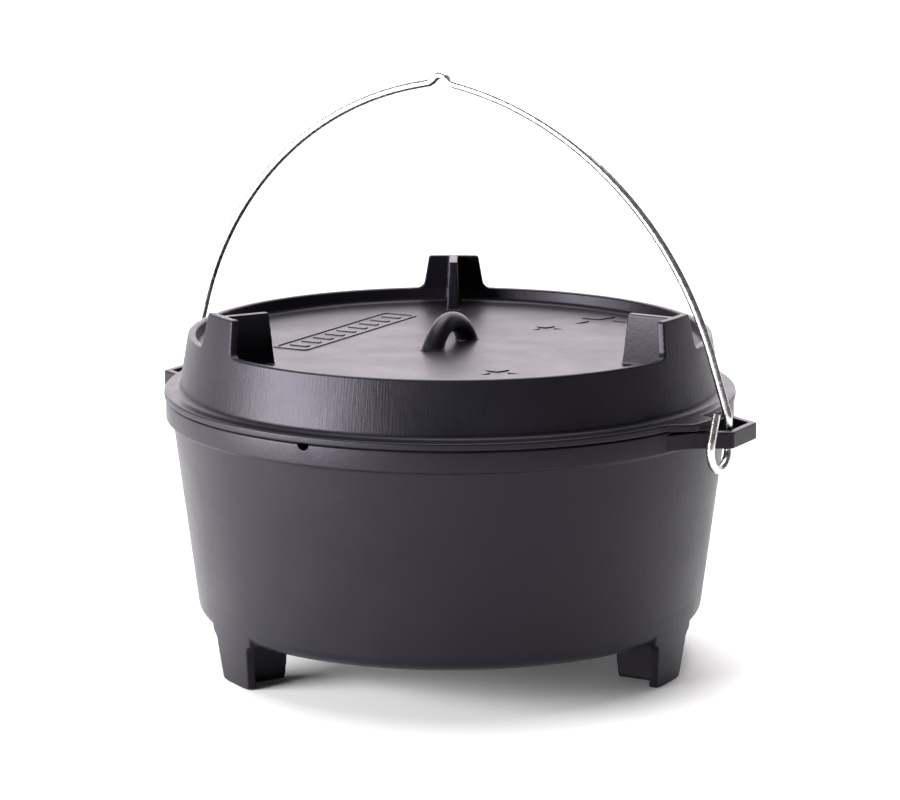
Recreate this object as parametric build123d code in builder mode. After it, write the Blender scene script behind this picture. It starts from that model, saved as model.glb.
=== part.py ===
from build123d import *
import os
from math import sin, cos, tan, atan2, radians, hypot

# Deep camp oven of cast iron: a pot on three legs, a lid on which coals can be laid and a wire bail.
# Z is up, the legs stand on Z = 0, and the two ears of the pot lie along X.
# The pot and the lid are one casting each. Each is saved as simple bodies that meet face to face.
# All lengths are in millimetres and all angles in degrees.

# ---- pot ----
seat_z = 164.0              # top of the pot's rim
rim_wall_r = 171.6          # outside of the wall, carried up to the rim
wall_draft = 7.15           # lean of the wall
wall = 5.0                  # thickness of the cast wall
floor_z = 28.0              # underside of the pot
floor_thick = 6.5
collar_r = 174.0            # band round the rim
collar_h = 13.0
notch_r = 3.9               # probe notch across the rim
base_r = 10.0               # roundings of the pot's outside and inside bottom corners
floor_r = 5.0
edge_r = 1.2                # rounding left on most cast edges

# ---- ears ----
ear_tip_x = 198.8
ear_tip_half = 17.0         # half width at the tip
ear_splay = 27.9            # lean of the ear's sides
ear_bar = 5.0               # width of the bars round the slot
ear_top_z = seat_z - 1.8
ear_h = 10.1
ear_bend_x = 178.5          # here the sides start to spread into the collar
ear_foot_x, ear_foot_half = 169.5, 42.5
ear_root_x, ear_root_half = 166.8, 44.5
ear_bend_r, ear_corner_r = 16.0, 3.0
slot_root_x = 176.6

# ---- legs and lid feet, all of the same T form ----
t_count = 3
leg_half_low, leg_half_high = 16.0, 19.6
leg_plate = 5.2
leg_proud = 0.25            # the legs stand this far out from the wall
foot_proud = 0.15
leg_rib_low_r, leg_rib_high_r = 118.0, 115.0
leg_rib_half_low, leg_rib_half_high = 2.4, 3.6
foot_h = 21.7
foot_half_high, foot_half_low = 16.0, 19.7
foot_plate = 4.6
foot_rib_high_r, foot_rib_low_r = 124.4, 121.2
foot_rib_half_high, foot_rib_half_low = 2.6, 4.0
flare_r = 6.0               # where a T runs into the casting
tip_r = 2.0                 # rounding of a T's free corners
overlap = 1.0               # pieces of one casting run this far into each other

# ---- lid ----
lid_gap = 0.3               # air kept between the lid and the pot
lid_z = seat_z + lid_gap    # underside of the flange
flange_r = 175.0
flange_thick = 4.5
lid_foot_r = 165.7          # wall of the lid at the top of the flange
lid_draft = 9.65
lid_rim_z = lid_z + 38.5
lid_wall = 5.2
lid_rim_wall = 4.4          # width of the lid's rim at its top
lid_rim_slope = 2.2         # the rim widens by this much down to the plate
plate_r, under_corner_r = 4.0, 7.0
plate_z = lid_z + 29.4      # top of the lid's plate
plate_thick = 5.0
spigot_r = 163.6            # ring that drops inside the pot
spigot_h = 4.0
spigot_wall = 4.0
lug_r = 186.8               # tab beside the bail over the root of each ear
lug_angles = (-11.2, -7.5, -3.9)
lug_root_angles = (-15.0, -3.2)
lug_corner_r = (5.0, 2.0)
lid_turn = -1.9             # the lid lies turned a little on the pot

# ---- loop on the lid ----
loop_half_span = 22.0
loop_rise = 14.2            # height of the bar's middle over the plate
loop_bar_r = 6.0
loop_foot_r = 8.0
loop_foot_h, loop_foot_taper = 5.0, 24.0

# ---- ornament on the lid ----
star_depth = 0.6
star_waist = 0.42           # inner corners of a star, as a share of its reach
star_places = ((70.0, -66.5, 10.5), (26.7, 77.4, 8.5), (42.5, 118.0, 12.0))
frame_x, frame_y = -79.0, 9.0
frame_long, frame_wide = 139.0, 25.0
frame_line, frame_h = 2.4, 0.6
frame_r = 4.0

# ---- bail ----
wire_r = 2.5
arch_r = 216.7              # sweep of each side of the bail
arch_off = 28.0             # each side's centre lies this far past the middle
arch_centre_z = lid_z - 22.8
arch_start, arch_end = 11.3, 73.3
leg_x = 190.4               # upright piece of wire inside the ear
leg_y = -5.4
bend_r = 10.0
hook_r = 12.6               # open loop round the ear's side bar
hook_z = lid_z - 12.5
hook_wrap = 205.0
hook_tail = 17.5
kink_top_r, kink_foot_r = 5.0, 7.0
kink_slope = 43.0
kink_z = lid_z + 195.9
bail_lean = 2.8             # the bail leans a little to the front
pivot_y = leg_y - hook_r
pivot_z = ear_top_z - ear_h / 2


def wall_r(z):
    """Outside radius of the pot's wall at a height."""
    return rim_wall_r - (seat_z - z) * tan(radians(wall_draft))


def lid_r(z):
    """Outside radius of the lid's wall at a height."""
    return lid_foot_r - (z - lid_z - flange_thick) * tan(radians(lid_draft))


def polar(radius, angle):
    """Point in plan at a radius and an angle."""
    return radius * cos(radians(angle)), radius * sin(radians(angle))


def round_corner(sketch, x, y, radius):
    """Rounds the corner of a sketch that lies nearest a point."""
    corner = sketch.vertices().sort_by_distance((x, y, 0))[0]
    fillet(corner, radius)


def tee_outline(half_low, half_high, z_low, z_high, z_join, cap):
    """Upright outline of a T's plate, with flared corners where it joins the casting at z_join."""
    shoulder = flare_r + overlap
    grow = 1.0 if z_join > z_low else -1.0
    base, tip = (half_high, half_low) if grow > 0 else (half_low, half_high)
    z_tip = z_low if grow > 0 else z_high
    z_cap = z_join + grow * cap
    with BuildSketch(Plane.YZ) as outline:
        with BuildLine():
            Polyline(
                (-tip, z_tip), (tip, z_tip), (base, z_join), (base + shoulder, z_join),
                (base, z_cap), (-base, z_cap), (-base - shoulder, z_join), (-base, z_join), close=True,
            )
        make_face()
        for side in (-1, 1):
            round_corner(outline, side * base, z_join, flare_r)
            round_corner(outline, side * tip, z_tip, tip_r)
    return outline.sketch


# ---------------------------------------------------------------- leg of the pot
leg_join_z = floor_z + overlap
rib_top_z = floor_z + 2 * overlap
leg_cap = 8.0
leg_outline = tee_outline(leg_half_low, leg_half_high, 0, leg_join_z, leg_join_z, leg_cap)
with BuildPart() as leg:
    with BuildSketch(Plane.XZ):
        with BuildLine():
            Polyline(
                (wall_r(0) - leg_plate, 0), (wall_r(0) + leg_proud, 0),
                (wall_r(leg_join_z + leg_cap) + leg_proud, leg_join_z + leg_cap),
                (wall_r(leg_join_z + leg_cap) - leg_plate, leg_join_z + leg_cap), close=True,
            )
        make_face()
    revolve(axis=Axis.Z)
    add(leg_outline)
    extrude(amount=rim_wall_r, dir=(1, 0, 0), mode=Mode.INTERSECT)

with BuildPart() as leg_rib:
    with BuildSketch(Plane.XZ):
        with BuildLine():
            Polyline(
                (leg_rib_low_r, 0), (wall_r(0) - overlap, 0), (wall_r(floor_z) - leg_plate, rib_top_z),
                (leg_rib_high_r, rib_top_z), close=True,
            )
        make_face()
    extrude(amount=leg_rib_half_high * 2, both=True)
    with BuildSketch(Plane.YZ):
        with BuildLine():
            Polyline(
                (-leg_rib_half_low, 0), (leg_rib_half_low, 0), (leg_rib_half_high, rib_top_z),
                (-leg_rib_half_high, rib_top_z), close=True,
            )
        make_face()
    extrude(amount=rim_wall_r, mode=Mode.INTERSECT)

# ---------------------------------------------------------------- pot
collar_z = seat_z - collar_h
pot_inner_top = rim_wall_r - wall
pot_inner_low = wall_r(floor_z + floor_thick) - wall
ear_low_z = ear_top_z - ear_h
splay = tan(radians(ear_splay))
slot_tip_x = ear_tip_x - ear_bar + 0.5
bar_across = ear_bar / cos(radians(ear_splay))


def ear_half(x):
    """Half width of the ear at a distance out from the middle of the pot."""
    return ear_tip_half + (ear_tip_x - x) * splay


with BuildPart() as ear:
    with BuildSketch(Plane.XY.offset(ear_low_z)) as ear_plan:
        with BuildLine():
            Polyline(
                (ear_root_x, -ear_root_half), (ear_foot_x, -ear_foot_half),
                (ear_bend_x, -ear_half(ear_bend_x)), (ear_tip_x, -ear_tip_half),
                (ear_tip_x, ear_tip_half), (ear_bend_x, ear_half(ear_bend_x)),
                (ear_foot_x, ear_foot_half), (ear_root_x, ear_root_half), close=True,
            )
        make_face()
        round_corner(ear_plan, ear_bend_x, ear_half(ear_bend_x), ear_bend_r)
        round_corner(ear_plan, ear_bend_x, -ear_half(ear_bend_x), ear_bend_r)
        round_corner(ear_plan, ear_tip_x, ear_tip_half, ear_corner_r)
        round_corner(ear_plan, ear_tip_x, -ear_tip_half, ear_corner_r)
        with BuildLine():
            Polyline(
                (slot_root_x, bar_across - ear_half(slot_root_x)),
                (slot_tip_x, bar_across - ear_half(slot_tip_x)),
                (slot_tip_x, ear_half(slot_tip_x) - bar_across),
                (slot_root_x, ear_half(slot_root_x) - bar_across), close=True,
            )
        make_face(mode=Mode.SUBTRACT)
    extrude(amount=ear_h)
    for level in (0, -1):
        fillet(ear.edges().filter_by(Axis.Z, reverse=True).group_by(Axis.Z)[level], edge_r)

with BuildPart() as pot_shell:
    with BuildSketch(Plane.XZ) as pot_section:
        with BuildLine():
            Polyline(
                (0, floor_z), (wall_r(floor_z), floor_z), (wall_r(collar_z), collar_z),
                (collar_r, collar_z), (collar_r, seat_z), (pot_inner_top, seat_z),
                (pot_inner_low, floor_z + floor_thick), (0, floor_z + floor_thick), close=True,
            )
        make_face()
        round_corner(pot_section, wall_r(floor_z), floor_z, base_r)
        round_corner(pot_section, wall_r(collar_z), collar_z, edge_r)
        round_corner(pot_section, collar_r, collar_z, edge_r)
        round_corner(pot_section, collar_r, seat_z, edge_r)
        round_corner(pot_section, pot_inner_top, seat_z, edge_r)
        round_corner(pot_section, pot_inner_low, floor_z + floor_thick, floor_r)
    revolve(axis=Axis.Z)
    with BuildSketch(Plane.XZ):
        with Locations((0, seat_z)):
            Circle(notch_r)
    extrude(amount=ear_tip_x, mode=Mode.SUBTRACT)

floor_disc_r = pot_inner_low - floor_r
with BuildPart() as pot_floor:
    add(pot_shell.part)
    Cylinder(floor_disc_r, 2 * seat_z, mode=Mode.INTERSECT)
with BuildPart() as pot_wall:
    add(pot_shell.part)
    Cylinder(floor_disc_r, 2 * seat_z, mode=Mode.SUBTRACT)
with BuildPart() as pot_ear:
    add(ear.part)
    Cylinder(collar_r, 2 * seat_z, mode=Mode.SUBTRACT)
with BuildPart() as pot_leg:
    add(leg.part)
    add(leg_rib.part)
    add(pot_shell.part, mode=Mode.SUBTRACT)

# ---------------------------------------------------------------- foot of the lid
foot_top_z = lid_rim_z + foot_h
foot_join_z = lid_rim_z - overlap
foot_cap = 4.0
foot_outline = tee_outline(foot_half_low, foot_half_high, foot_join_z, foot_top_z, foot_join_z, foot_cap)
with BuildPart() as foot:
    with BuildSketch(Plane.XZ):
        with BuildLine():
            Polyline(
                (lid_r(foot_join_z - foot_cap) - foot_plate, foot_join_z - foot_cap),
                (lid_r(foot_join_z - foot_cap) + foot_proud, foot_join_z - foot_cap),
                (lid_r(foot_top_z) + foot_proud, foot_top_z), (lid_r(foot_top_z) - foot_plate, foot_top_z),
                close=True,
            )
        make_face()
    revolve(axis=Axis.Z)
    add(foot_outline)
    extrude(amount=rim_wall_r, dir=(1, 0, 0), mode=Mode.INTERSECT)

rib_low_z = plate_z - 2 * overlap
with BuildPart() as foot_rib:
    with BuildSketch(Plane.XZ):
        with BuildLine():
            Polyline(
                (foot_rib_low_r, rib_low_z), (lid_r(lid_rim_z) - 2 * overlap, rib_low_z),
                (lid_r(foot_top_z) - overlap, foot_top_z), (foot_rib_high_r, foot_top_z), close=True,
            )
        make_face()
    extrude(amount=foot_rib_half_low * 2, both=True)
    with BuildSketch(Plane.YZ):
        with BuildLine():
            Polyline(
                (-foot_rib_half_low, rib_low_z), (foot_rib_half_low, rib_low_z),
                (foot_rib_half_high, foot_top_z), (-foot_rib_half_high, foot_top_z), close=True,
            )
        make_face()
    extrude(amount=rim_wall_r, mode=Mode.INTERSECT)

# ---------------------------------------------------------------- lug of the lid
lug_root_r = flange_r - 6
with BuildPart() as lug:
    with BuildSketch(Plane.XY.offset(lid_z)) as lug_plan:
        with BuildLine():
            lug_edge = [polar(lug_r, angle) for angle in lug_angles]
            ThreePointArc(*lug_edge)
            Polyline(
                lug_edge[2], polar(flange_r, lug_root_angles[1]), polar(lug_root_r, lug_root_angles[1]),
                polar(lug_root_r, lug_root_angles[0]), polar(flange_r, lug_root_angles[0]), lug_edge[0],
            )
        make_face()
        round_corner(lug_plan, *lug_edge[0], lug_corner_r[0])
        round_corner(lug_plan, *lug_edge[2], lug_corner_r[1])
    extrude(amount=flange_thick)

# ---------------------------------------------------------------- lid
flange_z = lid_z + flange_thick
rim_in_r = lid_r(lid_rim_z) - lid_rim_wall
plate_in_r = rim_in_r - lid_rim_slope
under_z = plate_z - plate_thick
under_r = lid_r(under_z) - lid_wall
spigot_in_r = spigot_r - spigot_wall
loop_foot_z = plate_z - overlap
with BuildPart() as lid_shell:
    with BuildSketch(Plane.XZ) as lid_section:
        with BuildLine():
            Polyline(
                (0, plate_z), (plate_in_r, plate_z), (rim_in_r, lid_rim_z), (lid_r(lid_rim_z), lid_rim_z),
                (lid_foot_r, flange_z), (flange_r, flange_z), (flange_r, lid_z), (spigot_r, lid_z),
                (spigot_r, lid_z - spigot_h), (spigot_in_r, lid_z - spigot_h), (under_r, under_z),
                (0, under_z), close=True,
            )
        make_face()
        round_corner(lid_section, plate_in_r, plate_z, plate_r)
        round_corner(lid_section, rim_in_r, lid_rim_z, edge_r)
        round_corner(lid_section, lid_r(lid_rim_z), lid_rim_z, edge_r)
        round_corner(lid_section, lid_foot_r, flange_z, plate_r)
        round_corner(lid_section, flange_r, flange_z, edge_r)
        round_corner(lid_section, flange_r, lid_z, edge_r)
        round_corner(lid_section, spigot_r, lid_z - spigot_h, edge_r)
        round_corner(lid_section, spigot_in_r, lid_z - spigot_h, edge_r)
        round_corner(lid_section, under_r, under_z, under_corner_r)
    revolve(axis=Axis.Z)

plate_disc_r = plate_in_r - plate_r - overlap
with BuildPart() as lid_plate:
    add(lid_shell.part)
    Cylinder(plate_disc_r, 2 * lid_rim_z, mode=Mode.INTERSECT)
    for star_x, star_y, reach in star_places:
        with BuildSketch(Plane.XY.offset(plate_z - star_depth)):
            with BuildLine():
                tips = []
                for corner in range(10):
                    out_x, out_y = polar(reach if corner % 2 == 0 else reach * star_waist, 90 + 36 * corner)
                    tips.append((star_x + out_x, star_y + out_y))
                Polyline(*tips, close=True)
            make_face()
        extrude(amount=star_depth + overlap, mode=Mode.SUBTRACT)
    with BuildSketch(Plane.XY.offset(plate_z - overlap)):
        with Locations((frame_x, frame_y)):
            RectangleRounded(frame_wide, frame_long, frame_r)
            RectangleRounded(
                frame_wide - 2 * frame_line, frame_long - 2 * frame_line, frame_r - frame_line / 2,
                mode=Mode.SUBTRACT,
            )
    extrude(amount=frame_h + overlap)

with BuildPart() as lid_rim:
    add(lid_shell.part)
    Cylinder(plate_disc_r, 2 * lid_rim_z, mode=Mode.SUBTRACT)
with BuildPart() as lid_lug:
    add(lug.part)
    add(lid_shell.part, mode=Mode.SUBTRACT)
with BuildPart() as lid_foot:
    add(foot.part)
    add(foot_rib.part)
    add(lid_shell.part, mode=Mode.SUBTRACT)
with BuildPart() as lid_loop:
    with BuildLine(Plane.YZ) as loop_path:
        ThreePointArc(
            (-loop_half_span, loop_foot_z), (0, plate_z + loop_rise), (loop_half_span, loop_foot_z)
        )
    with BuildSketch(Plane(origin=loop_path.line @ 0, z_dir=loop_path.line % 0)):
        Circle(loop_bar_r)
    sweep()
    for side in (-1, 1):
        with BuildSketch(Plane.XY.offset(loop_foot_z)):
            with Locations((0, side * loop_half_span)):
                Circle(loop_foot_r)
        extrude(amount=loop_foot_h, taper=loop_foot_taper)
    add(lid_shell.part, mode=Mode.SUBTRACT)

# ---------------------------------------------------------------- bail
# One half of the bail runs from the free end of the hook to the top of the hanging kink.
# Reach is measured out from the middle of the pot, in the upright plane of the arch.
def arc_through(centre, radius, start, end):
    """Three points of an arc given by its centre, radius and end angles."""
    turns = (start, (start + end) / 2, end)
    return [(centre[0] + radius * cos(radians(t)), centre[1] + radius * sin(radians(t))) for t in turns]


leg_reach = hypot(leg_x, leg_y)
arch_centre = (-arch_off, arch_centre_z)
arch = arc_through(arch_centre, arch_r, 90 - arch_start, 90 - arch_end)

slope, start = radians(kink_slope), radians(arch_start)
reach_left = arch[0][0] - kink_top_r * sin(slope) - kink_foot_r * (sin(slope) - sin(start))
drop_left = (kink_z - arch[0][1]) - kink_top_r * (1 - cos(slope)) - kink_foot_r * (cos(start) - cos(slope))
kink_line = (drop_left * cos(start) - reach_left * sin(start)) / sin(slope - start)
kink_top = arc_through((0, kink_z - kink_top_r), kink_top_r, 90, 90 - kink_slope)
kink_end = (kink_top[2][0] + kink_line * cos(slope), kink_top[2][1] - kink_line * sin(slope))
foot_centre = (kink_end[0] + kink_foot_r * sin(slope), kink_end[1] + kink_foot_r * cos(slope))
kink_foot = arc_through(foot_centre, kink_foot_r, 270 - kink_slope, 270 - arch_start)

# The arm runs on straight from the arch and bends upright just above the ear.
arm_lean = radians(90 - arch_end)
arm_bend = bend_r * tan(arm_lean / 2)
arm_foot_z = arch[2][1] - (leg_reach - arch[2][0]) / tan(arm_lean)
arm_end = (leg_reach - arm_bend * sin(arm_lean), arm_foot_z + arm_bend * cos(arm_lean))
bend = arc_through((leg_reach - bend_r, arm_foot_z - arm_bend), bend_r, 90 - arch_end, 0)

arch_turn = atan2(leg_y, leg_x)
arch_plane = Plane(
    origin=(0, 0, 0), x_dir=(cos(arch_turn), sin(arch_turn), 0), z_dir=(sin(arch_turn), -cos(arch_turn), 0)
)
with BuildLine(arch_plane) as arch_path:
    ThreePointArc(*kink_top)
    Line(kink_top[2], kink_end)
    ThreePointArc(*kink_foot)
    Line(kink_foot[2], arch[0])
    ThreePointArc(*arch)
    Line(arch[2], arm_end)
    ThreePointArc(*bend)
    Line(bend[2], (leg_reach, hook_z))

hook = arc_through((pivot_y, hook_z), hook_r, 0, -hook_wrap)
lean_in = radians(hook_wrap - 180)
tail_end = (hook[2][0] + hook_tail * sin(lean_in), hook[2][1] + hook_tail * cos(lean_in))
with BuildLine(Plane.YZ.offset(leg_x)) as hook_path:
    ThreePointArc(*hook)
    Line(hook[2], tail_end)

half_path = Wire(list(arch_path.edges()) + list(hook_path.edges()))
with BuildPart() as bail_upright:
    with BuildSketch(Plane(origin=(leg_x, *tail_end), z_dir=(0, -sin(lean_in), -cos(lean_in)))):
        Circle(wire_r)
    sweep(path=half_path)
    add(bail_upright.part.rotate(Axis.Z, 180))

pivot_axis = Axis(origin=(leg_x, pivot_y, pivot_z), direction=(leg_x, pivot_y, 0))
with BuildPart() as bail_handle:
    add(bail_upright.part.rotate(pivot_axis, bail_lean))

# ---------------------------------------------------------------- save
pieces = {
    "pot_floor": pot_floor.part, "pot_wall": pot_wall.part,
    "pot_ear_right": pot_ear.part, "pot_ear_left": pot_ear.part.rotate(Axis.Z, 180),
    "lid_plate": lid_plate.part, "lid_rim": lid_rim.part, "lid_loop": lid_loop.part,
    "lid_lug_right": lid_lug.part, "lid_lug_left": lid_lug.part.rotate(Axis.Z, 180),
    "bail_handle": bail_handle.part,
}
for turn in range(t_count):
    angle = turn * 360 / t_count
    pieces[f"pot_leg_{turn + 1}"] = pot_leg.part.rotate(Axis.Z, angle)
    pieces[f"lid_foot_{turn + 1}"] = lid_foot.part.rotate(Axis.Z, angle + lid_turn)
os.makedirs("parts", exist_ok=True)
for name, piece in pieces.items():
    piece.label = name
    export_step(piece, f"parts/{name}.step")
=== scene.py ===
"""A deep camp oven of cast iron with its lid and wire bail, standing in a plain pale studio.

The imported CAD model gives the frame. The castings are modelled again here with soft cast corners, and
every surface gets a procedural finish. Lengths in the size fields are in millimetres.
"""
import logging
import math
from dataclasses import dataclass
from enum import Enum
from typing import Callable, Dict, List, Optional, Sequence, Tuple

import bmesh
import bpy
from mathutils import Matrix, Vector


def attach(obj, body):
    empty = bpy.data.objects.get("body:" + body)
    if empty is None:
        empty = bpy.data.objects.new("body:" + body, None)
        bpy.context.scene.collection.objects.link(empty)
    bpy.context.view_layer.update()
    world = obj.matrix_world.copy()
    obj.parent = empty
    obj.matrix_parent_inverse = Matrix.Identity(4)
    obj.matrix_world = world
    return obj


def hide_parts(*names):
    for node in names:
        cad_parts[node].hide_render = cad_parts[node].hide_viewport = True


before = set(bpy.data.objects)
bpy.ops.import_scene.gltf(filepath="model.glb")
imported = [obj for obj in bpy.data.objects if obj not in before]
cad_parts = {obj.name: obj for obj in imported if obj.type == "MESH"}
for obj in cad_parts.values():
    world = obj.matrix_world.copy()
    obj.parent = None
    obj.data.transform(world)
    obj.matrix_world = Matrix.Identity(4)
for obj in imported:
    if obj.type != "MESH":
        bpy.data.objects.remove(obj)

MM = 0.001
FULL_TURN = math.tau
SMOOTH_ANGLE = math.radians(38)
LOG = logging.getLogger("camp_oven")

Point = Tuple[float, float, float]
Corner = Tuple[float, float, float]


# ------------------------------------------------------------------------------ small tools
def srgb(code: str) -> Tuple[float, float, float, float]:
    """Turns an sRGB hex colour into the linear colour that a shader takes.

    Args:
        code: six hex digits, with or without a leading hash.

    Returns:
        Linear red, green, blue and an alpha of one.
    """
    parts = [int(code.lstrip("#")[i:i + 2], 16) / 255 for i in (0, 2, 4)]
    linear = [p / 12.92 if p <= 0.04045 else ((p + 0.055) / 1.055) ** 2.4 for p in parts]
    return (linear[0], linear[1], linear[2], 1.0)


def start_clean() -> None:
    """Leaves edit mode and deselects everything, so that an operator acts on the new piece alone."""
    if bpy.context.object is not None and bpy.context.object.mode != "OBJECT":
        bpy.ops.object.mode_set(mode="OBJECT")
    bpy.ops.object.select_all(action="DESELECT")


def choose(*pieces: bpy.types.Object) -> None:
    """Selects these objects alone and makes the first one active."""
    start_clean()
    for piece in pieces:
        piece.select_set(True)
    bpy.context.view_layer.objects.active = pieces[0]


def upright(radius: float, z: float, angle: float = 0.0) -> Point:
    """A point at a radius, height and angle about Z, from millimetres to metres."""
    return (radius * MM * math.cos(angle), radius * MM * math.sin(angle), z * MM)


def select_near(piece: bpy.types.Object, places: Sequence[Point]) -> None:
    """Selects only the vertices that lie nearest to some places.

    Args:
        piece: a mesh object in edit mode.
        places: points in metres.
    """
    bpy.ops.mesh.select_all(action="DESELECT")
    mesh = bmesh.from_edit_mesh(piece.data)
    for place in places:
        nearest = min(mesh.verts, key=lambda vertex: (vertex.co - Vector(place)).length_squared)
        nearest.select = True
    bmesh.update_edit_mesh(piece.data)


def draw_line(name: str, places: Sequence[Point], radii: Sequence[float], closed: bool) -> bpy.types.Object:
    """Draws a line by extruding one vertex from point to point and rounds its corners.

    Args:
        name: name of the new object.
        places: the corners in order, in metres.
        radii: rounding of each corner in millimetres, 0 for a sharp one.
        closed: whether the line runs back to its start and is filled with a face.

    Returns:
        The new object, left in edit mode with everything selected.
    """
    start_clean()
    bpy.ops.mesh.primitive_plane_add(size=MM)
    piece = bpy.context.object
    piece.name = name
    piece.data.name = name
    bpy.ops.object.mode_set(mode="EDIT")
    bpy.ops.mesh.select_mode(type="VERT")
    bpy.ops.mesh.select_all(action="SELECT")
    bpy.ops.mesh.merge(type="CENTER")
    bpy.ops.transform.translate(value=places[0])
    for here, there in zip(places, places[1:]):
        step = tuple(b - a for a, b in zip(here, there))
        bpy.ops.mesh.extrude_vertices_move(TRANSFORM_OT_translate={"value": step})
    if closed:
        select_near(piece, (places[0], places[-1]))
        bpy.ops.mesh.edge_face_add()
    last = len(places) - 1
    for index, (place, radius) in enumerate(zip(places, radii)):
        if radius <= 0 or (not closed and index in (0, last)):
            continue
        before = Vector(places[index - 1]) - Vector(place)
        after = Vector(places[(index + 1) % len(places)]) - Vector(place)
        corner = before.angle(after)
        select_near(piece, (place,))
        bpy.ops.mesh.bevel(
            offset=radius * MM / math.tan(corner / 2), offset_type="OFFSET", affect="VERTICES",
            segments=max(3, math.ceil((math.pi - corner) / math.radians(12))), clamp_overlap=False,
        )
    bpy.ops.mesh.select_all(action="SELECT")
    if closed:
        bpy.ops.mesh.edge_face_add()
        bpy.ops.mesh.select_all(action="SELECT")
    return piece


def close_up() -> None:
    """Merges doubles of the mesh in edit mode and turns its faces outwards."""
    bpy.ops.mesh.select_all(action="SELECT")
    bpy.ops.mesh.remove_doubles(threshold=0.002 * MM)
    bpy.ops.mesh.normals_make_consistent(inside=False)
    bpy.ops.object.mode_set(mode="OBJECT")


def turn_profile(piece: bpy.types.Object, angle: float, steps: int) -> bpy.types.Object:
    """Spins the line or face in edit mode about Z and closes the shape.

    Args:
        piece: object in edit mode.
        angle: sweep in radians.
        steps: number of segments.

    Returns:
        The same object, in object mode.
    """
    bpy.ops.mesh.select_all(action="SELECT")
    bpy.ops.mesh.spin(steps=steps, angle=angle, center=(0, 0, 0), axis=(0, 0, 1))
    close_up()
    return piece


def push_face(piece: bpy.types.Object, way: Point) -> bpy.types.Object:
    """Extrudes the face in edit mode into a closed block.

    Args:
        piece: object in edit mode with one face.
        way: direction and length in metres.

    Returns:
        The same object, in object mode.
    """
    bpy.ops.mesh.select_all(action="SELECT")
    bpy.ops.mesh.extrude_region_move(TRANSFORM_OT_translate={"value": way})
    close_up()
    return piece


def modify(piece: bpy.types.Object, kind: str, **settings: object) -> None:
    """Adds a modifier to a piece and applies it.

    Args:
        piece: the mesh object.
        kind: type of the modifier.
        settings: its properties.
    """
    choose(piece)
    bpy.ops.object.modifier_add(type=kind)
    modifier = piece.modifiers[-1]
    for key, value in settings.items():
        setattr(modifier, key, value)
    bpy.ops.object.modifier_apply(modifier=modifier.name)


def carve(piece: bpy.types.Object, tool: bpy.types.Object, operation: str) -> bpy.types.Object:
    """Cuts a piece with another closed one, which is used up.

    Args:
        piece: the mesh that stays.
        tool: the mesh that cuts it.
        operation: DIFFERENCE or INTERSECT.

    Returns:
        The piece.
    """
    modify(piece, "BOOLEAN", operation=operation, solver="EXACT", object=tool)
    bpy.data.objects.remove(tool)
    return piece


def cast_together(pieces: Sequence[bpy.types.Object], grain: float, rounds: int) -> bpy.types.Object:
    """Joins overlapping blocks into one skin and softens its corners as sand casting does.

    Args:
        pieces: closed blocks that overlap; the first one keeps its name.
        grain: size of the new mesh's faces in millimetres.
        rounds: how often the skin is smoothed.

    Returns:
        The joined piece.
    """
    choose(*pieces)
    if len(pieces) > 1:
        bpy.ops.object.join()
    piece = pieces[0]
    modify(piece, "REMESH", mode="VOXEL", voxel_size=grain * MM, adaptivity=0.0)
    modify(piece, "SMOOTH", factor=0.5, iterations=rounds)
    choose(piece)
    bpy.ops.object.shade_smooth()
    return piece


def copy_turned(piece: bpy.types.Object, name: str, angle: float) -> bpy.types.Object:
    """Copies a piece with its own mesh and turns the copy about Z.

    Args:
        piece: the piece to copy.
        name: name of the copy.
        angle: turn in degrees.

    Returns:
        The copy, with its place in its mesh.
    """
    choose(piece)
    bpy.ops.object.duplicate(linked=False)
    copy = bpy.context.object
    copy.name = name
    copy.data.name = name
    copy.rotation_euler = (0, 0, math.radians(angle))
    bpy.ops.object.transform_apply(location=True, rotation=True, scale=True)
    return copy


def turn_to(piece: bpy.types.Object, angle: float) -> None:
    """Turns a piece about Z by an angle in degrees and puts the turn into its mesh."""
    choose(piece)
    piece.rotation_euler = (0, 0, math.radians(angle))
    bpy.ops.object.transform_apply(location=True, rotation=True, scale=True)


def add_node(tree: bpy.types.NodeTree, kind: str, settings: Optional[Dict[str, object]] = None,
             inputs: Optional[Dict[object, object]] = None) -> bpy.types.Node:
    """Adds a node with its settings, input values and links.

    Args:
        tree: the node tree.
        kind: the node's type.
        settings: properties of the node.
        inputs: by input name or index, a value or an output socket to link.

    Returns:
        The new node.
    """
    node = tree.nodes.new(kind)
    for key, value in (settings or {}).items():
        setattr(node, key, value)
    for key, value in (inputs or {}).items():
        if isinstance(value, bpy.types.NodeSocket):
            tree.links.new(value, node.inputs[key])
        else:
            node.inputs[key].default_value = value
    return node


# ------------------------------------------------------------------------------ finishes
def per_length(length: float) -> float:
    """Scale of a pattern on object coordinates whose features are this many millimetres long."""
    return 1.0 / (length * MM)


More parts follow.
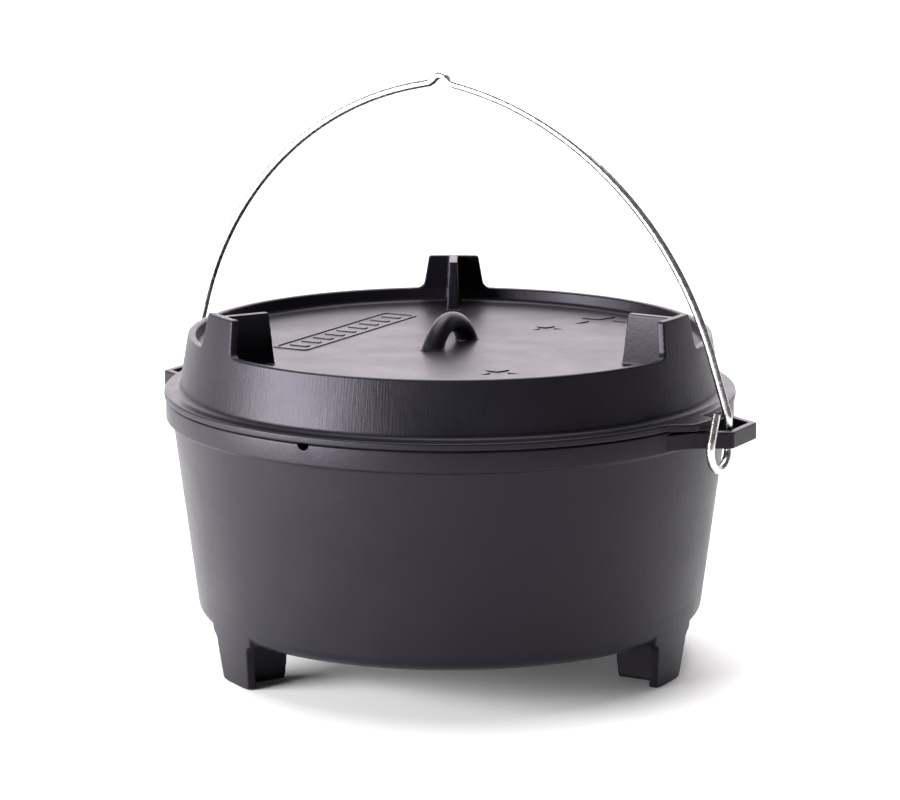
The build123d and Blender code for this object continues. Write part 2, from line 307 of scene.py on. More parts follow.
@dataclass(frozen=True)
class SeasonedCastIron:
    """Sand-cast iron with a baked oil seasoning: a black satin skin over a faint cast grain."""

    name: str
    dark: str = "#0b0a0e"
    light: str = "#131118"
    rough_low: float = 0.34
    rough_high: float = 0.44
    sheen_tint: str = "#ece4f6"
    ior: float = 1.31
    grain: float = 0.9          # sand grains left in the skin
    grain_height: float = 0.055
    cloud: float = 38.0         # patches where the oil lies thicker
    streaks: float = 0.0        # strength of the upright grinding lines on the wall
    streak_width: float = 0.9

    def make(self) -> bpy.types.Material:
        """Builds the material.

        Returns:
            The finished material.
        """
        material = bpy.data.materials.new(self.name)
        material.use_nodes = True
        tree = material.node_tree
        tree.nodes.clear()
        place = add_node(tree, "ShaderNodeTexCoord").outputs["Object"]
        clouds = add_node(tree, "ShaderNodeTexNoise", None, {
            "Vector": place, "Scale": per_length(self.cloud), "Detail": 4.0, "Roughness": 0.6})
        fine = add_node(tree, "ShaderNodeTexNoise", None, {
            "Vector": place, "Scale": per_length(self.grain), "Detail": 3.0, "Roughness": 0.65})
        speckle = add_node(tree, "ShaderNodeTexNoise", None, {
            "Vector": place, "Scale": per_length(self.grain * 4), "Detail": 2.0, "Roughness": 0.5})
        tone = add_node(tree, "ShaderNodeMix", {"data_type": "RGBA"}, {
            "Factor": clouds.outputs["Fac"], 6: srgb(self.dark), 7: srgb(self.light)})
        blend = add_node(tree, "ShaderNodeMath", {"operation": "MULTIPLY_ADD"}, {
            0: fine.outputs["Fac"], 1: 0.35, 2: clouds.outputs["Fac"]})
        rough = add_node(tree, "ShaderNodeMapRange", None, {
            "Value": blend.outputs[0], "From Min": 0.45, "From Max": 0.95,
            "To Min": self.rough_low, "To Max": self.rough_high})
        height = add_node(tree, "ShaderNodeMath", {"operation": "MULTIPLY_ADD"}, {
            0: speckle.outputs["Fac"], 1: 1.4, 2: fine.outputs["Fac"]}).outputs[0]
        if self.streaks > 0:
            height = self.add_streaks(tree, place, height)
        bump = add_node(tree, "ShaderNodeBump", None, {
            "Strength": 1.0, "Distance": self.grain_height * MM, "Height": height})
        shader = add_node(tree, "ShaderNodeBsdfPrincipled", None, {
            "Base Color": tone.outputs[2], "Roughness": rough.outputs[0], "IOR": self.ior,
            "Specular Tint": srgb(self.sheen_tint), "Metallic": 0.0, "Normal": bump.outputs["Normal"]})
        add_node(tree, "ShaderNodeOutputMaterial", None, {"Surface": shader.outputs[0]})
        return material

    def add_streaks(self, tree: bpy.types.NodeTree, place: bpy.types.NodeSocket,
                    height: bpy.types.NodeSocket) -> bpy.types.NodeSocket:
        """Adds upright lines, close together round the casting and long in height.

        Args:
            tree: the material's node tree.
            place: object coordinates.
            height: the bump so far.

        Returns:
            The bump with the lines in it, on walls only.
        """
        parts = add_node(tree, "ShaderNodeSeparateXYZ", None, {0: place})
        around = add_node(tree, "ShaderNodeMath", {"operation": "ARCTAN2"}, {
            0: parts.outputs["Y"], 1: parts.outputs["X"]})
        along = add_node(tree, "ShaderNodeMath", {"operation": "MULTIPLY"}, {
            0: around.outputs[0], 1: 162 / self.streak_width})
        drawn = add_node(tree, "ShaderNodeMath", {"operation": "MULTIPLY"}, {
            0: parts.outputs["Z"], 1: per_length(24.0)})
        spot = add_node(tree, "ShaderNodeCombineXYZ", None, {"X": along.outputs[0], "Y": drawn.outputs[0]})
        lines = add_node(tree, "ShaderNodeTexNoise", None, {
            "Vector": spot.outputs[0], "Scale": 1.0, "Detail": 2.0, "Roughness": 0.6})
        facing = add_node(tree, "ShaderNodeNewGeometry")
        normal = add_node(tree, "ShaderNodeSeparateXYZ", None, {0: facing.outputs["True Normal"]})
        wall = add_node(tree, "ShaderNodeMapRange", None, {
            "Value": normal.outputs["Z"], "From Min": 0.35, "From Max": 0.6, "To Min": self.streaks,
            "To Max": 0.0})
        masked = add_node(tree, "ShaderNodeMath", {"operation": "MULTIPLY"}, {
            0: lines.outputs["Fac"], 1: wall.outputs[0]})
        return add_node(tree, "ShaderNodeMath", {"operation": "ADD"}, {
            0: masked.outputs[0], 1: height}).outputs[0]


@dataclass(frozen=True)
class DrawnSteelWire:
    """Polished drawn steel wire: bright, with faint dull patches from handling."""

    name: str
    tone: str = "#dcdbd9"
    rough_low: float = 0.2
    rough_high: float = 0.34
    patch: float = 3.0

    def make(self) -> bpy.types.Material:
        """Builds the material.

        Returns:
            The finished material.
        """
        material = bpy.data.materials.new(self.name)
        material.use_nodes = True
        tree = material.node_tree
        tree.nodes.clear()
        place = add_node(tree, "ShaderNodeTexCoord").outputs["Object"]
        patches = add_node(tree, "ShaderNodeTexNoise", None, {
            "Vector": place, "Scale": per_length(self.patch), "Detail": 3.0, "Roughness": 0.6})
        rough = add_node(tree, "ShaderNodeMapRange", None, {
            "Value": patches.outputs["Fac"], "From Min": 0.35, "From Max": 0.7,
            "To Min": self.rough_low, "To Max": self.rough_high})
        bump = add_node(tree, "ShaderNodeBump", None, {
            "Strength": 0.6, "Distance": 0.003 * MM, "Height": patches.outputs["Fac"]})
        shader = add_node(tree, "ShaderNodeBsdfPrincipled", None, {
            "Base Color": srgb(self.tone), "Roughness": rough.outputs[0], "Metallic": 1.0,
            "Normal": bump.outputs["Normal"]})
        add_node(tree, "ShaderNodeOutputMaterial", None, {"Surface": shader.outputs[0]})
        return material


class Slot(Enum):
    """Names for material slots of the part. Nothing in this script uses them."""

    POT = "cast_iron_pot"
    LID = "cast_iron_lid"
    WIRE = "steel_wire"


def dress(piece: bpy.types.Object, material: bpy.types.Material, body: str, nodes: Sequence[str]) -> None:
    """Gives a piece its finish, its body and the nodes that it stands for.

    Args:
        piece: the finished mesh object.
        material: its finish.
        body: the body that it moves with.
        nodes: the CAD nodes that it replaces.
    """
    piece.data.materials.clear()
    piece.data.materials.append(material)
    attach(piece, body)
    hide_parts(*nodes)
    LOG.info("%s: %d faces", piece.name, len(piece.data.polygons))


# ------------------------------------------------------------------------------ T-section feet
@dataclass
class TeeFoot:
    """A T-section leg or foot: a plate that carries on the casting's wall, and a rib behind it."""

    name: str
    wall_at: Callable[[float], float]       # outside radius of the plate at a height
    z_join: float                           # height where it joins the casting
    z_tip: float
    half_join: float
    half_tip: float
    plate: float
    rib_join_r: float
    rib_tip_r: float
    rib_half_join: float
    rib_half_tip: float
    rib_root_z: float                       # the rib runs this far into the casting
    root: Sequence[Corner]                  # closed profile of the casting round the join
    fade_z: Tuple[float, float]             # along the wall the root sinks into it between these heights
    fade_r: Tuple[float, float]             # and on the flat between these radii
    proud: float = 0.04
    sunk: float = 0.25
    flare: float = 3.5
    shoulder: float = 0.5                   # the outline runs this far past its flared corners
    tip_round: float = 1.6
    spread: float = math.radians(17)
    grain: float = 0.62
    rounds: int = 5

    def outline_block(self) -> bpy.types.Object:
        """Builds the block that cuts the plate to its flared outline."""
        inwards = 1.0 if self.z_join > self.z_tip else -1.0
        shoulder = self.half_join + self.flare + self.shoulder
        cap = self.z_join + inwards * 7.0
        flat = [(-self.half_tip, self.z_tip), (self.half_tip, self.z_tip), (self.half_join, self.z_join),
                (shoulder, self.z_join), (shoulder, cap), (-shoulder, cap), (-shoulder, self.z_join),
                (-self.half_join, self.z_join)]
        radii = [self.tip_round, self.tip_round, self.flare, 0, 0, 0, 0, self.flare]
        outline = draw_line("outline", [(0.09, y * MM, z * MM) for y, z in flat], radii, closed=True)
        return push_face(outline, (0.11, 0, 0))

    def plate_block(self) -> bpy.types.Object:
        """Builds the curved plate."""
        low, high = sorted((self.z_tip, self.z_join + (9.0 if self.z_join > self.z_tip else -9.0)))
        shell = draw_line(self.name, [
            upright(self.wall_at(low) + self.proud, low, self.spread),
            upright(self.wall_at(high) + self.proud, high, self.spread),
            upright(self.wall_at(high) - self.plate, high, self.spread),
            upright(self.wall_at(low) - self.plate, low, self.spread)], (0, 0, 0, 0), closed=True)
        turn_profile(shell, 2 * self.spread, 64)
        return carve(shell, self.outline_block(), "INTERSECT")

    def rib_block(self) -> bpy.types.Object:
        """Builds the rib, which gets thicker towards the casting."""
        outer_join = self.wall_at(self.rib_root_z) - self.plate * 0.6
        outer_tip = self.wall_at(self.z_tip) - self.plate * 0.6
        start_clean()
        bpy.ops.mesh.primitive_cube_add(size=2.0)
        rib = bpy.context.object
        rib.name = "rib"
        for vertex in rib.data.vertices:
            at_tip = (vertex.co.z > 0) == (self.z_tip > self.z_join)
            outer, inner = (outer_tip, self.rib_tip_r) if at_tip else (outer_join, self.rib_join_r)
            half = self.rib_half_tip if at_tip else self.rib_half_join
            height = self.z_tip if at_tip else self.rib_root_z
            vertex.co = ((outer if vertex.co.x > 0 else inner) * MM, math.copysign(half, vertex.co.y) * MM,
                         height * MM)
        choose(rib)
        bpy.ops.object.mode_set(mode="EDIT")
        close_up()
        return rib

    def root_block(self) -> bpy.types.Object:
        """Builds the piece of the casting round the join, so that the corners run into it softly."""
        root = draw_line("root", [upright(r, z, self.spread) for r, z, _ in self.root],
                         [radius for _, _, radius in self.root], closed=True)
        return turn_profile(root, 2 * self.spread, 64)

    def build(self) -> bpy.types.Object:
        """Builds the whole foot on the +X side.

        Returns:
            The finished foot.
        """
        foot = cast_together([self.plate_block(), self.rib_block(), self.root_block()], self.grain, self.rounds)
        self.fade_out(foot)
        return foot

    def fade_out(self, foot: bpy.types.Object) -> None:
        """Lets the outer reaches of the root sink into the casting, so that no edge of it shows.

        Args:
            foot: the joined foot.
        """
        start = (self.half_join + self.flare + 1.5) / self.wall_at(self.z_join)
        moves = []
        for vertex in foot.data.vertices:
            x, y, z = vertex.co / MM
            radius = math.hypot(x, y)
            reaches = ((abs(math.atan2(y, x)), start, self.spread), (z, *self.fade_z), (radius, *self.fade_r))
            shares = [(value - low) / (high - low) for value, low, high in reaches]
            depth = self.sunk * min(1.0, max(0.0, *shares)) ** 2
            moves.append(vertex.co - vertex.normal * depth * MM)
        for vertex, place in zip(foot.data.vertices, moves):
            vertex.co = place


# ------------------------------------------------------------------------------ the pot
@dataclass
class PotCasting:
    """The pot with its collar, two slotted ears and three legs."""

    seat_z: float = 164.0
    rim_wall_r: float = 171.6
    draft: float = math.tan(math.radians(7.15))
    wall: float = 5.0
    floor_z: float = 28.0
    floor_thick: float = 6.5
    collar_r: float = 174.0
    collar_h: float = 13.0
    notch_r: float = 3.9
    ear_tip_x: float = 198.8
    ear_tip_half: float = 17.0
    ear_splay: float = math.tan(math.radians(27.9))
    ear_bar: float = 5.0
    ear_top: float = 162.2
    ear_h: float = 10.1
    ear_corner_r: float = 3.0
    ear_bend_r: float = 16.0
    slot_root_x: float = 176.6
    segments: int = 320

    def wall_at(self, z: float) -> float:
        """Outside radius of the wall at a height."""
        return self.rim_wall_r - (self.seat_z - z) * self.draft

    def ear_half(self, x: float) -> float:
        """Half width of an ear at a distance out from the middle."""
        return self.ear_tip_half + (self.ear_tip_x - x) * self.ear_splay

    def build_body(self) -> bpy.types.Object:
        """Spins the wall, floor and collar and cuts the probe notch.

        Returns:
            The body.
        """
        collar_z = self.seat_z - self.collar_h
        inside_z = self.floor_z + self.floor_thick
        corners = [
            (0, self.floor_z, 0), (self.wall_at(self.floor_z), self.floor_z, 10.0),
            (self.wall_at(collar_z), collar_z, 2.6), (self.collar_r, collar_z, 1.4),
            (self.collar_r, self.seat_z, 1.3), (self.rim_wall_r - self.wall, self.seat_z, 1.3),
            (self.wall_at(inside_z) - self.wall, inside_z, 14.0), (0, inside_z, 0)]
        body = draw_line("pot_body", [upright(r, z) for r, z, _ in corners], [c[2] for c in corners], False)
        turn_profile(body, FULL_TURN, self.segments)
        start_clean()
        bpy.ops.mesh.primitive_cylinder_add(
            vertices=40, radius=self.notch_r * MM, depth=30 * MM,
            location=(0, -(self.collar_r - 4) * MM, self.seat_z * MM), rotation=(math.pi / 2, 0, 0))
        return carve(body, bpy.context.object, "DIFFERENCE")

    def build_ear(self) -> bpy.types.Object:
        """Builds the ear on the +X side, with its slot.

        Returns:
            The ear.
        """
        low = (self.ear_top - self.ear_h) * MM
        bend_x, foot_x, root_x = 178.5, 169.5, 166.8
        right = [(root_x, 44.5, 0), (foot_x, 42.5, 0), (bend_x, self.ear_half(bend_x), self.ear_bend_r),
                 (self.ear_tip_x, self.ear_tip_half, self.ear_corner_r)]
        plan = right + [(x, -y, r) for x, y, r in reversed(right)]
        ear = draw_line("ear", [(x * MM, y * MM, low) for x, y, _ in plan], [c[2] for c in plan], closed=True)
        push_face(ear, (0, 0, self.ear_h * MM))
        bar = self.ear_bar * math.hypot(1, self.ear_splay)
        tip_x = self.ear_tip_x - self.ear_bar + 0.5
        hole = [(self.slot_root_x, self.ear_half(self.slot_root_x) - bar), (tip_x, self.ear_half(tip_x) - bar)]
        hole += [(x, -y) for x, y in reversed(hole)]
        slot = draw_line("slot", [(x * MM, y * MM, low - MM) for x, y in hole], (1.5,) * 4, closed=True)
        carve(ear, push_face(slot, (0, 0, (self.ear_h + 2) * MM)), "DIFFERENCE")
        return cast_together([ear], 0.6, 5)

    def build_leg(self) -> bpy.types.Object:
        """Builds the leg on the +X side."""
        floor = self.floor_z
        high = floor + 26
        root = [(96.0, floor - 0.04, 0), (self.wall_at(floor) + 0.04, floor - 0.04, 10.0),
                (self.wall_at(high) + 0.04, high, 0), (self.wall_at(high) - 4.4, high, 0),
                (self.wall_at(floor + 4) - 8, floor + 5.5, 0), (96.0, floor + 5.5, 0)]
        return TeeFoot(
            "leg", self.wall_at, z_join=floor, z_tip=0.0, half_join=19.6, half_tip=16.0, plate=5.2,
            rib_join_r=115.0, rib_tip_r=118.0, rib_half_join=3.6, rib_half_tip=2.4, rib_root_z=floor + 3,
            root=root, fade_z=(floor + 12, high), fade_r=(111.0, 96.0)).build()

    def build(self, iron: bpy.types.Material) -> None:
        """Builds and dresses every piece of the pot.

        Args:
            iron: the finish.
        """
        body = self.build_body()
        choose(body)
        bpy.ops.object.shade_smooth_by_angle(angle=SMOOTH_ANGLE)
        ear = self.build_ear()
        ear.name = "ear_right"
        leg = self.build_leg()
        leg.name = "leg_1"
        pieces = {
            body: ("pot_wall", "pot_floor"),
            ear: ("pot_ear_right",),
            copy_turned(ear, "ear_left", 180): ("pot_ear_left",),
            leg: ("pot_leg_1",),
            copy_turned(leg, "leg_2", 120): ("pot_leg_2",),
            copy_turned(leg, "leg_3", 240): ("pot_leg_3",),
        }
        for piece, nodes in pieces.items():
            dress(piece, iron, "pot", nodes)


# ------------------------------------------------------------------------------ the lid
@dataclass
class LidCasting:
    """The lid with its flange, sunk plate, lugs, three feet, loop handle, stars and plain frame."""

    lid_z: float = 164.3
    flange_r: float = 175.0
    flange_thick: float = 4.5
    foot_r: float = 165.7
    draft: float = math.tan(math.radians(9.65))
    rim_z: float = 202.8
    plate_z: float = 193.7
    plate_thick: float = 5.0
    rim_wall: float = 4.4
    rim_slope: float = 2.2
    spigot_r: float = 163.6
    spigot_h: float = 4.0
    tee_h: float = 21.7
    turn: float = -1.9
    lug_r: float = 186.8
    lug_angles: Tuple[float, float, float] = (-11.2, -7.5, -3.9)
    lug_roots: Tuple[float, float] = (-15.0, -3.2)
    loop_half_span: float = 22.0
    loop_rise: float = 14.2
    loop_bar_r: float = 6.0
    loop_swell: float = 0.16      # the bar grows by this share towards its feet
    loop_collar_r: float = 9.2
    loop_collar_h: float = 1.1
    loop_drop: float = 1.0        # the bar's circle is struck from this far below the plate's face
    loop_root: float = 1.5        # the bar and its collars go this far into the plate
    loop_foot_inset: float = 0.6
    star_depth: float = 0.6
    star_waist: float = 0.42      # inner corners against the tips
    stars: Tuple[Corner, ...] = ((70.0, -66.5, 13.0), (26.7, 77.4, 11.0), (45.0, 117.0, 19.5))
    frame_centre: Tuple[float, float] = (-79.0, 9.0)
    frame_size: Tuple[float, float] = (25.0, 138.6)
    frame_line: float = 2.2
    frame_h: float = 0.6
    frame_root: float = 0.5       # raised shapes start this far below the plate's face
    bar_pitch: float = 14.0
    bar_half: Tuple[float, float] = (6.5, 2.2)
    segments: int = 320

    def wall_at(self, z: float) -> float:
        """Outside radius of the lid's wall at a height."""
        return self.foot_r - (z - self.lid_z - self.flange_thick) * self.draft

    def build_body(self) -> bpy.types.Object:
        """Spins the plate, rim, wall and flange and sinks the stars.

        Returns:
            The body.
        """
        rim_in = self.wall_at(self.rim_z) - self.rim_wall
        flange_z = self.lid_z + self.flange_thick
        under_z = self.plate_z - self.plate_thick
        corners = [
            (0, self.plate_z, 0), (rim_in - self.rim_slope, self.plate_z, 4.0), (rim_in, self.rim_z, 1.5),
            (self.wall_at(self.rim_z), self.rim_z, 1.5), (self.foot_r, flange_z, 4.0),
            (self.flange_r, flange_z, 1.3), (self.flange_r, self.lid_z, 1.2), (self.spigot_r, self.lid_z, 0),
            (self.spigot_r, self.lid_z - self.spigot_h, 1.2),
            (self.spigot_r - 4.0, self.lid_z - self.spigot_h, 1.2),
            (self.wall_at(under_z) - 5.2, under_z, 7.0), (0, under_z, 0)]
        body = draw_line("lid_body", [upright(r, z) for r, z, _ in corners], [c[2] for c in corners], False)
        turn_profile(body, FULL_TURN, self.segments)
        for star in self.stars:
            carve(body, self.star_tool(star), "DIFFERENCE")
        choose(body)
        bpy.ops.object.shade_smooth_by_angle(angle=SMOOTH_ANGLE)
        modify(body, "WEIGHTED_NORMAL", keep_sharp=True)
        return body

    def star_tool(self, star: Corner) -> bpy.types.Object:
        """Builds the block that sinks one five-pointed star.

        Args:
            star: place in plan and reach of its tips.

        Returns:
            The block.
        """
        x, y, reach = star
        low = (self.plate_z - self.star_depth) * MM
        tips = []
        for corner in range(10):
            length = reach if corner % 2 == 0 else reach * self.star_waist
            angle = math.radians(90 + 36 * corner)
            tips.append(((x + length * math.cos(angle)) * MM, (y + length * math.sin(angle)) * MM, low))
        return push_face(draw_line("star", tips, (0.0,) * 10, closed=True), (0, 0, 3 * MM))

    def build_lug(self) -> bpy.types.Object:
        """Builds the lug beside the bail on the +X side."""
        low = self.lid_z
        root_r = self.flange_r - 6
        near, middle, far = (math.radians(a) for a in self.lug_angles)
        first, last = (math.radians(a) for a in self.lug_roots)
        places = [upright(self.lug_r, low, near), upright(self.lug_r, low, middle), upright(self.lug_r, low, far),
                  upright(self.flange_r, low, last), upright(root_r, low, last), upright(root_r, low, first),
                  upright(self.flange_r, low, first)]
        lug = draw_line("lug", places, (5.0, 0, 2.0, 0, 0, 0, 0), closed=True)
        push_face(lug, (0, 0, self.flange_thick * MM))
        return cast_together([lug], 0.55, 4)

    def build_foot(self) -> bpy.types.Object:
        """Builds the foot on the +X side, before the lid's small turn."""
        rim_in = self.wall_at(self.rim_z) - self.rim_wall
        lift = 0.04
        wall_low = self.rim_z - 22
        root = [(100.0, self.plate_z + lift, 0), (rim_in - self.rim_slope, self.plate_z + lift, 4.0),
                (rim_in - lift, self.rim_z + lift, 1.5),
                (self.wall_at(self.rim_z) + lift, self.rim_z + lift, 1.5),
                (self.wall_at(wall_low) + lift, wall_low, 0), (self.wall_at(wall_low) - 3.5, wall_low, 0),
                (self.wall_at(self.plate_z) - 8, self.plate_z - 3, 0), (100.0, self.plate_z - 3, 0)]
        return TeeFoot(
            "foot", self.wall_at, z_join=self.rim_z, z_tip=self.rim_z + self.tee_h, half_join=19.7,
            half_tip=16.0, plate=4.6, rib_join_r=121.2, rib_tip_r=124.4, rib_half_join=4.0, rib_half_tip=2.6,
            rib_root_z=self.plate_z - 2, root=root, fade_z=(self.rim_z - 8, wall_low), fade_r=(117.0, 100.0),
            flare=5.0, shoulder=2.0, tip_round=1.4, grain=0.6).build()

    def build_loop(self) -> bpy.types.Object:
        """Builds the loop handle with its two thickened feet.

        Returns:
            The loop.
        """
        rise = self.loop_rise + self.loop_drop
        ring = (self.loop_half_span ** 2 + rise ** 2) / (2 * rise)
        start_clean()
        bpy.ops.mesh.primitive_torus_add(
            major_radius=ring * MM, minor_radius=self.loop_bar_r * MM, major_segments=96, minor_segments=32,
            location=(0, 0, (self.plate_z + self.loop_rise - ring) * MM), rotation=(0, math.pi / 2, 0))
        loop = bpy.context.object
        loop.name = "loop"
        bpy.ops.object.transform_apply(location=True, rotation=True, scale=True)
        bpy.ops.object.mode_set(mode="EDIT")
        bpy.ops.mesh.select_all(action="SELECT")
        bpy.ops.mesh.bisect(plane_co=(0, 0, (self.plate_z - self.loop_root) * MM), plane_no=(0, 0, 1),
                            clear_inner=True, use_fill=True)
        close_up()
        centre_z = self.plate_z + self.loop_rise - ring
        for vertex in loop.data.vertices:
            x, y, z = vertex.co / MM
            reach = math.hypot(y, z - centre_z)
            fall = min(1.0, max(0.0, (self.plate_z + self.loop_rise - z) / rise))
            swell = 1.0 + self.loop_swell * fall ** 2
            share = (ring + (reach - ring) * swell) / reach
            vertex.co = (x * swell * MM, y * share * MM, (centre_z + (z - centre_z) * share) * MM)
        blocks = [loop]
        for side in (-1, 1):
            start_clean()
            bpy.ops.mesh.primitive_cone_add(
                vertices=48, radius1=self.loop_collar_r * MM, radius2=(self.loop_bar_r + 1.0) * MM,
                depth=(self.loop_collar_h + self.loop_root) * MM,
                location=(0, side * (self.loop_half_span - self.loop_foot_inset) * MM,
                          (self.plate_z + (self.loop_collar_h - self.loop_root) / 2) * MM))
            blocks.append(bpy.context.object)
        return cast_together(blocks, 0.5, 9)

    def raised_block(self, name: str, plan: Sequence[Tuple[float, float]], radius: float) -> bpy.types.Object:
        """Builds a low raised shape on the plate.

        Args:
            name: name of the block.
            plan: its corners from the middle of the frame.
            radius: rounding of its corners.

        Returns:
            The block.
        """
        x, y = self.frame_centre
        low = (self.plate_z - self.frame_root) * MM
        places = [((x + a) * MM, (y + b) * MM, low) for a, b in plan]
        block = draw_line(name, places, (radius,) * len(plan), closed=True)
        return push_face(block, (0, 0, (self.frame_h + self.frame_root) * MM))

    def build_frame(self) -> bpy.types.Object:
        """Builds the plain raised frame with a row of plain bars in it.

        Returns:
            The frame.
        """
        half_w, half_l = self.frame_size[0] / 2, self.frame_size[1] / 2
        line = self.frame_line

        def ring(inset: float) -> List[Tuple[float, float]]:
            """Corners of the frame at an inset."""
            a, b = half_w - inset, half_l - inset
            return [(a, b), (-a, b), (-a, -b), (a, -b)]

        outer = self.raised_block("plain_frame", ring(0), 4.0)
        inner = self.raised_block("inner", ring(line), 2.8)
        for vertex in inner.data.vertices:
            vertex.co.z += MM if vertex.co.z > self.plate_z * MM else -MM
        carve(outer, inner, "DIFFERENCE")
        bars = []
        for step in range(-4, 5):
            middle = step * self.bar_pitch
            a, b = self.bar_half
            plan = [(a, middle + b), (-a, middle + b), (-a, middle - b), (a, middle - b)]
            bars.append(self.raised_block("bar", plan, 1.0))
        choose(outer, *bars)
        bpy.ops.object.join()
        modify(outer, "BEVEL", width=0.22 * MM, segments=2, limit_method="ANGLE",
               angle_limit=math.radians(50))
        choose(outer)
        bpy.ops.object.shade_smooth_by_angle(angle=SMOOTH_ANGLE)
        modify(outer, "WEIGHTED_NORMAL", keep_sharp=True)
        return outer

    def build(self, iron: bpy.types.Material) -> None:
        """Builds and dresses every piece of the lid.

        Args:
            iron: the finish.
        """
        body = self.build_body()
        lug = self.build_lug()
        lug.name = "lug_right"
        foot = self.build_foot()
        foot.name = "foot_1"
        turn_to(foot, self.turn)
        pieces = {
            body: ("lid_rim", "lid_plate"),
            lug: ("lid_lug_right",),
            copy_turned(lug, "lug_left", 180): ("lid_lug_left",),
            foot: ("lid_foot_1",),
            copy_turned(foot, "foot_2", 120): ("lid_foot_2",),
            copy_turned(foot, "foot_3", 240): ("lid_foot_3",),
            self.build_loop(): ("lid_loop",),
            self.build_frame(): ("lid_plate",),
        }
        for piece, nodes in pieces.items():
            dress(piece, iron, "lid", nodes)


# ------------------------------------------------------------------------------ the bail
@dataclass
class WireBail:
    """The bail. Its CAD wire has the right shape, so it keeps its mesh and gets its finish."""

    node: str = "bail_handle"

    def dress(self, steel: bpy.types.Material) -> None:
        """Puts the finish on the wire.

        Args:
            steel: the finish.
        """
        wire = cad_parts[self.node]
        for slot in wire.material_slots:
            slot.link = "OBJECT"
            slot.material = steel
        LOG.info("%s: CAD wire kept", self.node)


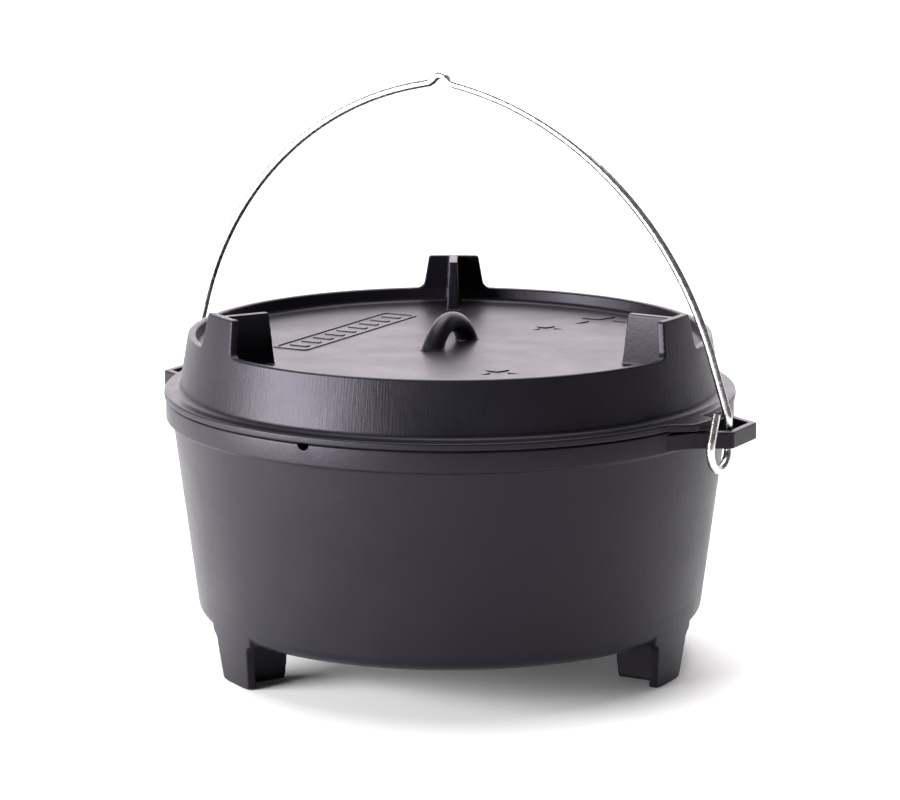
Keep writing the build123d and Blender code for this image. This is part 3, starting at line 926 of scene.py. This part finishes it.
# ------------------------------------------------------------------------------ the studio
@dataclass
class Studio:
    """Pale floor, soft lights and the camera. Lengths are in metres and angles in degrees."""

    lens: float = 146.13
    eye: Point = (1.0666, -1.9242, 0.6020)
    look_azimuth: float = 29.0
    look_down: float = 11.383
    key_power: float = 105.0
    key_azimuth: float = 234.0
    key_elevation: float = 7.0
    key_distance: float = 1.7
    key_size: Tuple[float, float] = (1.35, 0.8)
    overhead: float = 3.9
    overhead_spread: float = 48.0
    overhead_lean: float = 14.0             # degrees it leans towards that wall
    wall_tone: str = "#fff7fd"
    wall_azimuth: float = 119.0             # middle of the bright wall behind the oven
    wall_rise: float = 0.33
    wall_edge: Tuple[float, float] = (0.62, 0.98)       # cosines from its middle where it starts and is full
    wall_strength: Tuple[float, float] = (0.1, 3.1)     # outside it and at its middle
    floor_tone: str = "#f4f4f4"
    floor_r: float = 14.0
    floor_gap: float = 0.0002

    def place_camera(self) -> None:
        """Puts the camera on its stand."""
        start_clean()
        bpy.ops.object.camera_add(
            location=self.eye, rotation=(math.radians(90 - self.look_down), 0, math.radians(self.look_azimuth)))
        camera = bpy.context.object
        camera.name = "studio_camera"
        camera.data.lens = self.lens
        camera.data.sensor_width = 36.0
        camera.data.clip_end = 50.0
        bpy.context.scene.camera = camera

    def lay_floor(self) -> None:
        """Lays the pale floor."""
        start_clean()
        bpy.ops.mesh.primitive_circle_add(
            vertices=96, radius=self.floor_r, fill_type="NGON", location=(0, 0, -self.floor_gap))
        floor = bpy.context.object
        floor.name = "studio_floor"
        material = bpy.data.materials.new("studio_paper")
        material.use_nodes = True
        shader = material.node_tree.nodes["Principled BSDF"]
        shader.inputs["Base Color"].default_value = srgb(self.floor_tone)
        shader.inputs["Roughness"].default_value = 0.9
        shader.inputs["Specular IOR Level"].default_value = 0.1
        floor.data.materials.append(material)

    def add_panel(self, name: str, azimuth: float, elevation: float, distance: float, size: Tuple[float, float],
                  power: float) -> None:
        """Hangs a soft light panel that looks at the oven.

        Args:
            name: name of the lamp.
            azimuth: where it hangs, in degrees from +X towards +Y.
            elevation: its height angle in degrees.
            distance: how far it is, in metres.
            size: width and height in metres.
            power: watts.
        """
        start_clean()
        a, e = math.radians(azimuth), math.radians(elevation)
        middle = Vector((0, 0, 0.15))
        way = Vector((math.cos(a) * math.cos(e), math.sin(a) * math.cos(e), math.sin(e)))
        bpy.ops.object.light_add(type="AREA", location=middle + way * distance)
        lamp = bpy.context.object
        lamp.name = name
        lamp.rotation_euler = way.to_track_quat("Z", "Y").to_euler()
        lamp.data.shape = "RECTANGLE"
        lamp.data.size, lamp.data.size_y = size
        lamp.data.energy = power

    def light(self) -> None:
        """Sets the pale surroundings and the panels."""
        bpy.context.scene.view_settings.view_transform = "Standard"
        world = bpy.data.worlds.new("studio_surroundings")
        bpy.context.scene.world = world
        world.use_nodes = True
        tree = world.node_tree
        tree.nodes.clear()
        way = add_node(tree, "ShaderNodeTexCoord").outputs["Generated"]
        behind = math.radians(self.wall_azimuth)
        toward_wall = add_node(tree, "ShaderNodeVectorMath", {"operation": "DOT_PRODUCT"}, {
            0: way, 1: (math.cos(behind) * 0.98, math.sin(behind) * 0.98, self.wall_rise)})
        fall = add_node(tree, "ShaderNodeMapRange", {"interpolation_type": "SMOOTHSTEP"}, {
            "Value": toward_wall.outputs["Value"], "From Min": self.wall_edge[0], "From Max": self.wall_edge[1],
            "To Min": self.wall_strength[0], "To Max": self.wall_strength[1]})
        sky = add_node(tree, "ShaderNodeBackground", None, {
            "Color": srgb(self.wall_tone), "Strength": fall.outputs[0]})
        add_node(tree, "ShaderNodeOutputWorld", None, {"Surface": sky.outputs[0]})
        self.add_panel("key_left", self.key_azimuth, self.key_elevation, self.key_distance, self.key_size,
                       self.key_power)
        start_clean()
        lean = math.radians(self.overhead_lean)
        above = Vector((math.cos(behind) * math.sin(lean), math.sin(behind) * math.sin(lean), math.cos(lean)))
        bpy.ops.object.light_add(type="SUN", location=above * 3,
                                 rotation=above.to_track_quat("Z", "Y").to_euler())
        sun = bpy.context.object
        sun.name = "overhead_soft"
        sun.data.energy = self.overhead
        sun.data.angle = math.radians(self.overhead_spread)

    def build(self) -> None:
        """Sets up the whole studio."""
        self.place_camera()
        self.lay_floor()
        self.light()


def main() -> None:
    """Builds the pot, the lid and the bail, and sets them in the studio."""
    logging.basicConfig(level=logging.INFO, format="%(message)s")
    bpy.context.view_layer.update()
    Studio().build()
    PotCasting().build(SeasonedCastIron("seasoned_cast_iron_pot").make())
    LidCasting().build(SeasonedCastIron("seasoned_cast_iron_lid", streaks=2.4).make())
    WireBail().dress(DrawnSteelWire("drawn_steel_wire").make())


if __name__ == "__main__":
    main()
